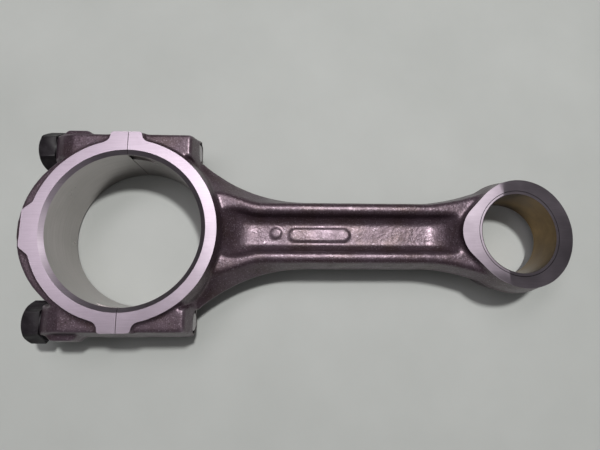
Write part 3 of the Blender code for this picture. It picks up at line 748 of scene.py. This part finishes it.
def rod_forging(finishes):
    """The forged rod: half of the big end, the threaded bosses, the shank and the small end."""
    rod = forged_blank(
        "rod_forging",
        ring_shape(),
        wing_shape(ROD_WING_REACH, 1),
        rod_boss_shape(),
        shank_shape(),
        eye_shape(),
    )
    boolean(
        rod,
        "DIFFERENCE",
        joint_cutter(-REACH - BEYOND, FIT_GAP / 2),
        *face_cutters(),
        *wedge_cutters(),
        big_bore_cutter(),
        eye_bore_cutter(),
        tang_cutter(1),
        *thread_cutters(),
        *dowel_cutters(),
    )
    dress(rod, *finishes)
    shade(rod, finish_slots(rod.data))
    place(rod, "rod", "rod_forging", "rod_body")
    return rod


def cap_forging(finishes):
    """The other half of the big end, with the bosses that the bolts pass through."""
    cap = forged_blank(
        "cap_forging",
        ring_shape(),
        wing_shape(CAP_WING_REACH, -1),
        cap_boss_shape(),
        cap_bulge_shape(),
        cap_rim_shape(),
        cap_pad_shape(),
    )
    holes = []
    for side in (1, -1):
        bar = bar_along_x(BOLT_RADIUS + FIT_GAP, BOLT_HOLE_FROM_X, BEYOND, side * BOLT_Y, 0)
        holes.append(new_object("hole", bar))
    boolean(
        cap,
        "DIFFERENCE",
        joint_cutter(-FIT_GAP / 2, REACH + BEYOND),
        *face_cutters(),
        big_bore_cutter(),
        *seat_cutters(),
        tang_cutter(-1),
        *holes,
        *dowel_cutters(),
    )
    dress(cap, *finishes)
    shade(cap, finish_slots(cap.data))
    place(cap, "cap", "cap_forging", "big_end_cap")
    return cap


def small_end_bush(steel, bronze):
    """The steel-backed bush with its bronze lining, a small lead-in at its mouths."""
    outer = PIN_RADIUS + BUSH_WALL
    mouth = PIN_RADIUS + BUSH_CHAMFER
    past = SMALL_HALF + STOCK
    bush = new_object(
        "bush_sleeve",
        revolved(
            [
                (mouth, SMALL_HALF),
                (outer, SMALL_HALF),
                (outer, -SMALL_HALF),
                (mouth, -SMALL_HALF),
                (PIN_RADIUS, -SMALL_HALF + BUSH_CHAMFER),
                (PIN_RADIUS, SMALL_HALF - BUSH_CHAMFER),
            ],
            closed=True,
            centre=(CENTRE_DISTANCE, 0),
        ),
    )
    boolean(bush, "DIFFERENCE", *wedge_cutters(), wedge_mouth_cutter(past))
    dress(bush, steel, bronze)
    for face in bush.data.polygons:
        face.use_smooth = True
        inside = math.hypot(face.center.x - CENTRE_DISTANCE, face.center.y) < PIN_RADIUS + NEAR
        face.material_index = int(inside and abs(face.normal.z) < 0.5)
    sharpen(bush, 20)
    place(bush, "rod", "bush_bronze", "small_end_bush")
    return bush


def wedge_mouth_cutter(past):
    """A cone that chamfers the bush's mouth in the sloped upper face. The lower face has no such cut."""
    lean = math.atan(WEDGE_SLOPE)
    depth = WEDGE_MOUTH_DEPTH
    profile = [(0, past), (PIN_RADIUS + past, past), (PIN_RADIUS - depth, -depth), (0, -depth)]
    shape = revolved(profile)
    turn = Matrix.Rotation(lean, 4, "Y")
    drop = SMALL_HALF - WEDGE_SLOPE * (CENTRE_DISTANCE - WEDGE_START_X)
    move = Matrix.Translation((CENTRE_DISTANCE, 0, drop))
    bmesh.ops.transform(shape, matrix=move @ turn, verts=shape.verts)
    return new_object("mouth", shape)


def sharpen(obj, angle_deg):
    """Keeps edges sharper than the angle crisp."""
    obj.data.set_sharp_from_angle(angle=math.radians(angle_deg))


def dress(obj, *finishes):
    """Gives a piece these material slots and no others."""
    obj.data.materials.clear()
    for finish in finishes:
        obj.data.materials.append(finish)


def bolt_crest(x):
    """Radius of the bolt's shank at x, with its tip chamfered."""
    return BOLT_RADIUS - max(0.0, x - (BOLT_TIP_X - BOLT_TIP_CHAMFER))


def bolt_groove(x):
    """Depth of the bolt's thread at x, fading out at its start and at the tip."""
    run_out = smooth((x - (BOLT_TIP_X - THREAD_LENGTH)) / THREAD_PITCH)
    at_tip = smooth((x - (BOLT_TIP_X - BOLT_TIP_RUN_OUT)) / BOLT_TIP_RUN_OUT)
    return THREAD_DEPTH * run_out * (1 - at_tip)


def cap_bolt(name, side, node, body, steels):
    """A hexagon-head bolt with a washer face, a chamfered head and a rolled thread."""
    seat = BOLT_SEAT_X - FIT_GAP
    start = seat - BOLT_WASHER_FACE
    plain_end = BOLT_TIP_X - THREAD_LENGTH - THREAD_PITCH
    stations = [start, *np.arange(plain_end, BOLT_TIP_X, THREAD_PITCH / THREAD_STEPS), BOLT_TIP_X]
    bolt = new_object(name, threaded_bar(stations, bolt_crest, bolt_groove))
    flats = BOLT_HEAD_FLATS / 2
    corners = flats / math.cos(math.pi / 6)
    top = seat - BOLT_HEAD_HEIGHT
    angles = np.radians(range(30, 390, 60))
    hexagon = []
    for x in (seat, top):
        hexagon.append([(x, corners * math.sin(a), corners * math.cos(a)) for a in angles])
    head = new_object("head", skinned([[(seat, 0, 0)], *hexagon, [(top, 0, 0)]]))
    profile = [
        (0, top),
        (flats - BOLT_TOP_INSET, top),
        (corners + ENVELOPE_PAST, top + BOLT_HEAD_CHAMFER + ENVELOPE_PAST),
        (corners + ENVELOPE_PAST, seat - BOLT_WASHER_FACE - 0.1 * MM),
        (flats, seat - BOLT_WASHER_FACE),
        (flats - BOLT_WASHER_INSET, seat),
        (0, seat),
    ]
    envelope = revolved(profile)
    bmesh.ops.rotate(envelope, verts=envelope.verts, matrix=Matrix.Rotation(math.radians(90), 3, "Y"))
    boolean(head, "INTERSECT", new_object("envelope", envelope))
    boolean(bolt, "UNION", head)
    bolt.data.transform(Matrix.Translation((0, side * BOLT_Y, 0)))
    bevel = bolt.modifiers.new("edges", "BEVEL")
    bevel.width = BOLT_EDGE_BEVEL
    bevel.segments = 2
    bevel.limit_method = "ANGLE"
    bevel.angle_limit = math.radians(50)
    apply_modifiers(bolt)
    dress(bolt, *steels)
    for face in bolt.data.polygons:
        face.use_smooth = True
        face.material_index = int(face.center.x > BOLT_TIP_X - BOLT_BRIGHT_TIP)
    sharpen(bolt, 28)
    place(bolt, body, "bolt_steel", node)
    return bolt


# ---- finishes ----


class Finish:
    """A material under construction: its shader and a few shorthands for adding nodes."""

    def __init__(self, name, metallic, roughness, specular=0.5):
        self.material = bpy.data.materials.new(name)
        self.material.use_nodes = True
        self.tree = self.material.node_tree
        self.shader = self.tree.nodes["Principled BSDF"]
        self.shader.inputs["Metallic"].default_value = metallic
        self.shader.inputs["Roughness"].default_value = roughness
        self.shader.inputs["Specular IOR Level"].default_value = specular

    def add(self, kind, links=None, values=None, **settings):
        made = self.tree.nodes.new(kind)
        for key, value in settings.items():
            setattr(made, key, value)
        for key, value in (values or {}).items():
            made.inputs[key].default_value = value
        for key, source in (links or {}).items():
            self.tree.links.new(source, made.inputs[key])
        return made

    def places(self, stretch=(1.0, 1.0, 1.0)):
        """The piece's own coordinates in metres, stretched for streaks."""
        source = self.add("ShaderNodeTexCoord").outputs["Object"]
        return self.add("ShaderNodeMapping", {"Vector": source}, {"Scale": stretch}).outputs["Vector"]

    def noise(self, per_metre, detail=4.0, places=None, roughness=0.55):
        links = {"Vector": places or self.places()}
        values = {"Scale": per_metre, "Detail": detail, "Roughness": roughness}
        return self.add("ShaderNodeTexNoise", links, values).outputs["Fac"]

    def ramp(self, source, *stops):
        """Colours at the given places of a 0 to 1 source."""
        made = self.add("ShaderNodeValToRGB", {"Fac": source})
        elements = made.color_ramp.elements
        while len(elements) < len(stops):
            elements.new(0.5)
        for element, (place, colour) in zip(elements, stops):
            element.position = place
            element.color = (*colour, 1.0)
        return made.outputs["Color"]

    def grey_ramp(self, source, *stops):
        return self.ramp(source, *((place, (value,) * 3) for place, value in stops))

    def mix(self, share, first, second):
        made = self.add("ShaderNodeMix", data_type="RGBA")
        for socket, value in ((0, share), (6, first), (7, second)):
            if isinstance(value, bpy.types.NodeSocket):
                self.tree.links.new(value, made.inputs[socket])
            elif socket == 0:
                made.inputs[socket].default_value = value
            else:
                made.inputs[socket].default_value = (*value, 1.0)
        return made.outputs[2]

    def edges(self):
        """1 on worn outer edges and 0 on flats."""
        pointiness = self.add("ShaderNodeNewGeometry").outputs["Pointiness"]
        return self.grey_ramp(pointiness, (0.52, 0.0), (0.60, 1.0))

    def bump(self, height, distance, strength=1.0, normal=None):
        links = {"Height": height}
        if normal:
            links["Normal"] = normal
        values = {"Distance": distance, "Strength": strength}
        return self.add("ShaderNodeBump", links, values).outputs["Normal"]

    def set(self, socket, source):
        self.tree.links.new(source, self.shader.inputs[socket])


def forged_finish():
    """Shot-blasted, oiled forging scale: dark plum with brown patches, fine specks and brighter edges."""
    made = Finish("forged skin", metallic=0.5, roughness=0.36, specular=0.6)
    patches = made.noise(55, 6.0)
    brown, plum, lilac = (0.070, 0.042, 0.044), (0.092, 0.060, 0.076), (0.118, 0.082, 0.106)
    colour = made.ramp(patches, (0.30, brown), (0.50, plum), (0.72, lilac))
    specks = made.noise(1400, 3.0)
    colour = made.mix(made.grey_ramp(specks, (0.56, 0.0), (0.72, 0.6)), colour, (0.34, 0.28, 0.33))
    pits = made.grey_ramp(made.noise(900, 2.0), (0.30, 0.7), (0.40, 0.0))
    colour = made.mix(pits, colour, (0.03, 0.022, 0.022))
    colour = made.mix(made.edges(), colour, (0.36, 0.30, 0.35))
    made.set("Base Color", colour)
    made.set("Roughness", made.grey_ramp(made.noise(160, 5.0), (0.3, 0.27), (0.7, 0.42)))
    peened = made.bump(made.noise(700, 4.0), 0.18 * MM, 0.6)
    made.set("Normal", made.bump(made.noise(190, 3.0), 0.25 * MM, 0.30, peened))
    return made.material


def ground_finish():
    """Flat faces off a grinding wheel: fine straight lines, a few handling marks."""
    made = Finish("ground steel", metallic=1.0, roughness=0.32)
    lines = made.noise(260, 3.0, made.places(stretch=(0.35, 14.0, 1.0)))
    cloud = made.noise(38, 5.0)
    colour = made.ramp(cloud, (0.3, (0.41, 0.350, 0.405)), (0.7, (0.51, 0.440, 0.505)))
    colour = made.mix(made.grey_ramp(lines, (0.35, 0.35), (0.6, 0.0)), colour, (0.31, 0.265, 0.305))
    made.set("Base Color", colour)
    made.set("Roughness", made.grey_ramp(cloud, (0.3, 0.28), (0.7, 0.37)))
    made.set("Normal", made.bump(lines, 0.02 * MM, 0.6))
    return made.material


def honed_finish():
    """A honed bore: fine rings round it and a cloudy oil film."""
    made = Finish("honed bore", metallic=1.0, roughness=0.30)
    rings = made.noise(300, 3.0, made.places(stretch=(0.15, 0.15, 9.0)))
    cloud = made.noise(45, 4.0)
    colour = made.ramp(cloud, (0.3, (0.42, 0.395, 0.385)), (0.7, (0.52, 0.485, 0.48)))
    colour = made.mix(made.grey_ramp(rings, (0.35, 0.3), (0.6, 0.0)), colour, (0.30, 0.28, 0.27))
    made.set("Base Color", colour)
    made.set("Roughness", made.grey_ramp(cloud, (0.3, 0.26), (0.7, 0.36)))
    made.set("Normal", made.bump(rings, 0.015 * MM, 0.6))
    return made.material


def milled_finish():
    """Seats and joint faces: coarser cutter marks."""
    made = Finish("milled steel", metallic=1.0, roughness=0.40)
    lines = made.noise(180, 2.0, made.places(stretch=(1.0, 8.0, 0.5)))
    made.set("Base Color", made.ramp(lines, (0.3, (0.40, 0.375, 0.385)), (0.7, (0.56, 0.53, 0.545))))
    made.set("Roughness", made.grey_ramp(made.noise(120, 4.0), (0.3, 0.34), (0.7, 0.48)))
    made.set("Normal", made.bump(lines, 0.03 * MM, 0.6))
    return made.material


def tapped_finish():
    """Thread flanks and drilled walls: dull and a little oily."""
    made = Finish("tapped steel", metallic=0.9, roughness=0.40)
    stain = made.noise(220, 4.0)
    made.set("Base Color", made.ramp(stain, (0.3, (0.14, 0.12, 0.12)), (0.7, (0.27, 0.245, 0.25))))
    made.set("Roughness", made.grey_ramp(stain, (0.3, 0.32), (0.7, 0.5)))
    made.set("Normal", made.bump(made.noise(900, 2.0), 0.03 * MM, 0.5))
    return made.material


def bronze_finish():
    """Reamed bronze, browned by oil, with fine rings round the bore."""
    made = Finish("bush bronze", metallic=1.0, roughness=0.34)
    rings = made.noise(320, 3.0, made.places(stretch=(0.15, 0.15, 9.0)))
    stain = made.noise(70, 5.0)
    dark, middle, light = (0.09, 0.058, 0.030), (0.17, 0.112, 0.052), (0.30, 0.20, 0.095)
    colour = made.ramp(stain, (0.28, dark), (0.5, middle), (0.74, light))
    colour = made.mix(made.grey_ramp(rings, (0.35, 0.35), (0.6, 0.0)), colour, (0.18, 0.12, 0.06))
    made.set("Base Color", colour)
    made.set("Roughness", made.grey_ramp(stain, (0.3, 0.28), (0.7, 0.42)))
    made.set("Normal", made.bump(rings, 0.015 * MM, 0.6))
    return made.material


def bolt_finish():
    """Black oxide on heat-treated steel, rubbed thin in patches."""
    made = Finish("black oxide", metallic=0.0, roughness=0.45, specular=0.18)
    bloom = made.noise(240, 5.0)
    colour = made.ramp(bloom, (0.3, (0.009, 0.007, 0.009)), (0.7, (0.020, 0.016, 0.020)))
    rubbed = made.grey_ramp(made.noise(420, 5.0), (0.60, 0.0), (0.75, 0.8))
    made.set("Base Color", made.mix(rubbed, colour, (0.045, 0.040, 0.045)))
    made.set("Roughness", made.grey_ramp(bloom, (0.3, 0.38), (0.7, 0.52)))
    made.set("Normal", made.bump(made.noise(1300, 3.0), 0.03 * MM, 0.3))
    return made.material


def dowel_finish():
    """Centreless-ground dowel steel, with faint lines round the pin."""
    made = Finish("dowel steel", metallic=1.0, roughness=0.24)
    lines = made.noise(500, 2.0, made.places(stretch=(9.0, 0.2, 0.2)))
    made.set("Base Color", made.ramp(lines, (0.3, (0.52, 0.51, 0.50)), (0.7, (0.68, 0.67, 0.66))))
    made.set("Roughness", made.grey_ramp(made.noise(300, 3.0), (0.3, 0.2), (0.7, 0.32)))
    made.set("Normal", made.bump(lines, 0.01 * MM, 0.5))
    return made.material


def floor_finish():
    made = Finish("pale floor", metallic=0.0, roughness=0.62, specular=0.3)
    cloud = made.noise(14, 6.0)
    made.set("Base Color", made.ramp(cloud, (0.3, (0.515, 0.535, 0.51)), (0.7, (0.565, 0.585, 0.56))))
    made.set("Normal", made.bump(made.noise(260, 4.0), 0.10 * MM, 0.25))
    return made.material


# ---- setting ----


def add_floor():
    """A plain pale floor, wide enough that no view finds its edge near the rod."""
    shape = bmesh.new()
    bmesh.ops.create_grid(shape, x_segments=1, y_segments=1, size=FLOOR_REACH)
    floor = new_object("floor", shape)
    floor.data.materials.append(floor_finish())


def add_area_light(name, place, aim, sides, power, colour):
    lamp = bpy.data.lights.new(name, "AREA")
    lamp.shape = "RECTANGLE"
    lamp.size, lamp.size_y = sides
    lamp.energy = power
    lamp.color = colour
    made = bpy.data.objects.new(name, lamp)
    made.location = place
    made.rotation_euler = (Vector(aim) - Vector(place)).to_track_quat("-Z", "Y").to_euler()
    bpy.context.scene.collection.objects.link(made)


def add_lights():
    """A small key high on the far right, a soft panel for the faces to reflect, and a dim broad ceiling."""
    add_area_light("key", (0.17, 0.34, 1.31), (0, 0, 0), (0.10, 0.10), 11.0, (1.0, 0.99, 0.985))
    add_area_light("panel", (-0.42, 0.40, 1.25), (-0.05, 0, 0), (1.1, 0.32), 2.9, (1.0, 0.95, 1.0))
    add_area_light("ceiling", (-0.10, 0.05, 1.45), (0, 0, 0), (1.6, 1.6), 2.2, (1.0, 0.96, 1.0))
    world = bpy.data.worlds.new("room")
    world.use_nodes = True
    background = world.node_tree.nodes["Background"]
    background.inputs["Color"].default_value = (0.86, 0.90, 0.88, 1.0)
    background.inputs["Strength"].default_value = 0.06
    bpy.context.scene.world = world


def add_camera():
    """The viewing angle: high above the rod, looking a little along and across it."""
    lens = bpy.data.cameras.new("camera")
    lens.sensor_width = CAMERA_SENSOR_MM
    lens.lens = CAMERA_LENS_MM
    lens.clip_start = 0.01
    camera = bpy.data.objects.new("camera", lens)
    camera.location = ROD_ORIGIN + CAMERA_FROM_ROD
    camera.rotation_euler = [math.radians(angle) for angle in CAMERA_TURN]
    bpy.context.scene.collection.objects.link(camera)
    bpy.context.scene.camera = camera
    bpy.context.scene.view_settings.view_transform = "Standard"


def main():
    finishes = [forged_finish(), ground_finish(), honed_finish(), milled_finish(), tapped_finish()]
    rod_forging(finishes)
    cap_forging(finishes)
    small_end_bush(finishes[GROUND], bronze_finish())
    steels = [bolt_finish(), finishes[MILLED]]
    cap_bolt("bolt_upper", 1, "cap_bolt_upper", "upper_bolt", steels)
    cap_bolt("bolt_lower", -1, "cap_bolt_lower", "lower_bolt", steels)
    dowel_steel = dowel_finish()
    for node in ("dowel_pin_upper", "dowel_pin_lower"):
        for material_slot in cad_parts[node].material_slots:
            material_slot.material = dowel_steel
    add_floor()
    add_lights()
    add_camera()


main()
